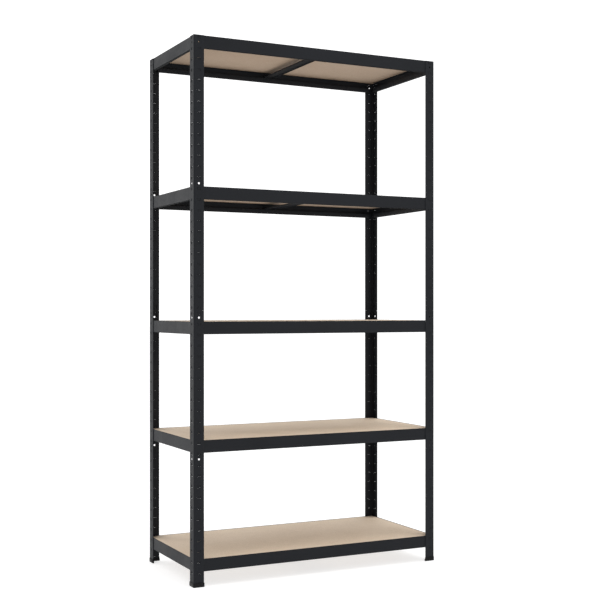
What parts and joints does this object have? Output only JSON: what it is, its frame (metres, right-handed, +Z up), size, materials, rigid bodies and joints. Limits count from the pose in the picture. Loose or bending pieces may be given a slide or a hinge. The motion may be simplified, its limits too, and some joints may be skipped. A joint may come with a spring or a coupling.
{
  "type": "boltless shelving unit",
  "caption": "Free-standing boltless shelving with spliced slotted angle posts, hook-in folded steel beams, tie bars and loose wood boards, for storing boxed goods and tools.",
  "frame": {"origin": "on the floor, under the centre of the unit's outline", "axes": "+Z up along the posts, +X along the long beams to the right as seen from the front, +Y from the front to the back"},
  "size_m": [0.9276, 0.4406, 1.8],
  "materials": {
    "steel": "satin anthracite powder coat",
    "board": "raw pressed wood-fibre board, matt",
    "plastic": "moulded black, matt"
  },
  "bodies": {
    "frame": {"post_front_left_lower": "steel", "post_front_left_upper": "steel", "post_front_right_lower": "steel", "post_front_right_upper": "steel", "post_back_right_lower": "steel", "post_back_right_upper": "steel", "post_back_left_lower": "steel", "post_back_left_upper": "steel", "splice_front_left": "steel", "splice_front_right": "steel", "splice_back_right": "steel", "splice_back_left": "steel", "foot_front_left": "plastic", "foot_front_right": "plastic", "foot_back_right": "plastic", "foot_back_left": "plastic", "beam_front_1": "steel", "beam_front_2": "steel", "beam_front_3": "steel", "beam_front_4": "steel", "beam_front_5": "steel", "beam_back_1": "steel", "beam_back_2": "steel", "beam_back_3": "steel", "beam_back_4": "steel", "beam_back_5": "steel", "beam_left_1": "steel", "beam_left_2": "steel", "beam_left_3": "steel", "beam_left_4": "steel", "beam_left_5": "steel", "beam_right_1": "steel", "beam_right_2": "steel", "beam_right_3": "steel", "beam_right_4": "steel", "beam_right_5": "steel", "tie_bar_1": "steel", "tie_bar_2": "steel", "tie_bar_3": "steel", "tie_bar_4": "steel", "tie_bar_5": "steel"},
    "shelf_board_1": {"board_1": "board"},
    "shelf_board_2": {"board_2": "board"},
    "shelf_board_3": {"board_3": "board"},
    "shelf_board_4": {"board_4": "board"},
    "shelf_board_5": {"board_5": "board"}
  },
  "joints": [
    {"name": "board_1_lift", "type": "slide", "parent": "frame", "child": "shelf_board_1", "axis": [0, 0, 1], "range_m": [0, 0.34]},
    {"name": "board_2_lift", "type": "slide", "parent": "frame", "child": "shelf_board_2", "axis": [0, 0, 1], "range_m": [0, 0.34]},
    {"name": "board_3_lift", "type": "slide", "parent": "frame", "child": "shelf_board_3", "axis": [0, 0, 1], "range_m": [0, 0.395]},
    {"name": "board_4_lift", "type": "slide", "parent": "frame", "child": "shelf_board_4", "axis": [0, 0, 1], "range_m": [0, 0.445]},
    {"name": "board_5_lift", "type": "slide", "parent": "frame", "child": "shelf_board_5", "axis": [0, 0, 1], "range_m": [0, 0.3]}
  ]
}
